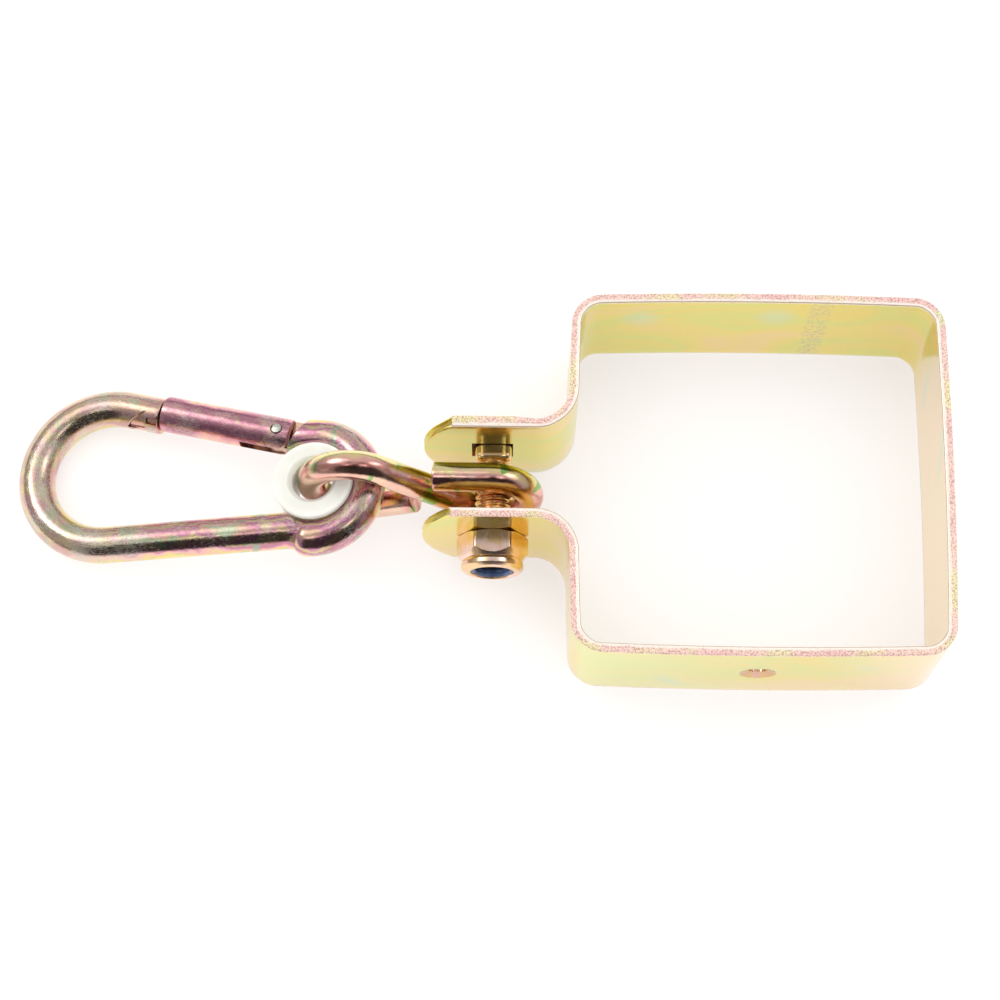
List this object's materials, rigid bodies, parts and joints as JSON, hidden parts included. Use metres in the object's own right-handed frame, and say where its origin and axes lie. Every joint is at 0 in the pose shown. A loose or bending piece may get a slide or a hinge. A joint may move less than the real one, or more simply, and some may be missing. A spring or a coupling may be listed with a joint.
{
  "type": "beam clamp swing hanger",
  "caption": "Folded steel band that clamps round a square beam, with a swinging S-link and a spring snap hook on a plastic bushing.",
  "frame": {"origin": "centre of the beam opening, at half the width of the band", "axes": "+Z along the beam (across the band's width), ears and hook towards -X, +X towards the closed wall, bolt head towards +Y and nut towards -Y"},
  "size_m": [0.253, 0.0996, 0.04],
  "materials": {
    "band_zinc": "yellow-chromated zinc on flat strip: mirror-like pale yellow-green gold with faint pink and green patches",
    "rod_zinc": "yellow-chromated zinc on round rod: iridescent gold, magenta and green with fine scratches",
    "bolt_zinc": "yellow-chromated zinc on turned and rolled fasteners: glossy gold and orange",
    "blue_nylon": "dark blue nylon",
    "clear_nylon": "milky translucent natural nylon",
    "rivet_steel": "bright zinc-plated steel"
  },
  "bodies": {
    "clamp": {"band": "band_zinc", "carriage_bolt": "bolt_zinc", "lock_nut": "bolt_zinc", "nut_insert": "blue_nylon"},
    "link": {"s_link": "rod_zinc"},
    "bushing": {"bushing": "clear_nylon"},
    "hook": {"hook_body": "rod_zinc", "gate_rivet": "rivet_steel"},
    "gate": {"gate": "rod_zinc", "gate_spring": "rivet_steel"},
    "plunger": {"gate_plunger": "rivet_steel"}
  },
  "joints": [
    {"name": "link_swing", "type": "hinge", "parent": "clamp", "child": "link", "pos_m": [-0.071, 0, 0], "axis": [0, 1, 0], "range_deg": [-110, 110]},
    {"name": "bushing_slide", "type": "hinge", "parent": "link", "child": "bushing", "pos_m": [-0.10842, 0.00139, -0.00078], "axis": [-0.0635, -0.9867, 0.1495], "range_deg": [-35, 10]},
    {"name": "hook_swing", "type": "hinge", "parent": "bushing", "child": "hook", "pos_m": [-0.11922, 0.00092, -0.00247], "axis": [-0.1444, 0.0938, 0.9851], "range_deg": [-75, 75]},
    {"name": "gate_open", "type": "hinge", "parent": "hook", "child": "gate", "pos_m": [-0.12988, 0.01677, -0.00554], "axis": [-0.1444, 0.0938, 0.9851], "range_deg": [0, 28], "stiffness_Nm_per_rad": 0.2, "springref_deg": -28.65},
    {"name": "plunger_slide", "type": "slide", "parent": "gate", "child": "plunger", "axis": [-0.959, 0.2323, -0.1627], "range_m": [0, 0.0013]}
  ],
  "couplings": [
    {"joint": "plunger_slide", "follows": "gate_open", "m_per_rad": 0.0025}
  ]
}
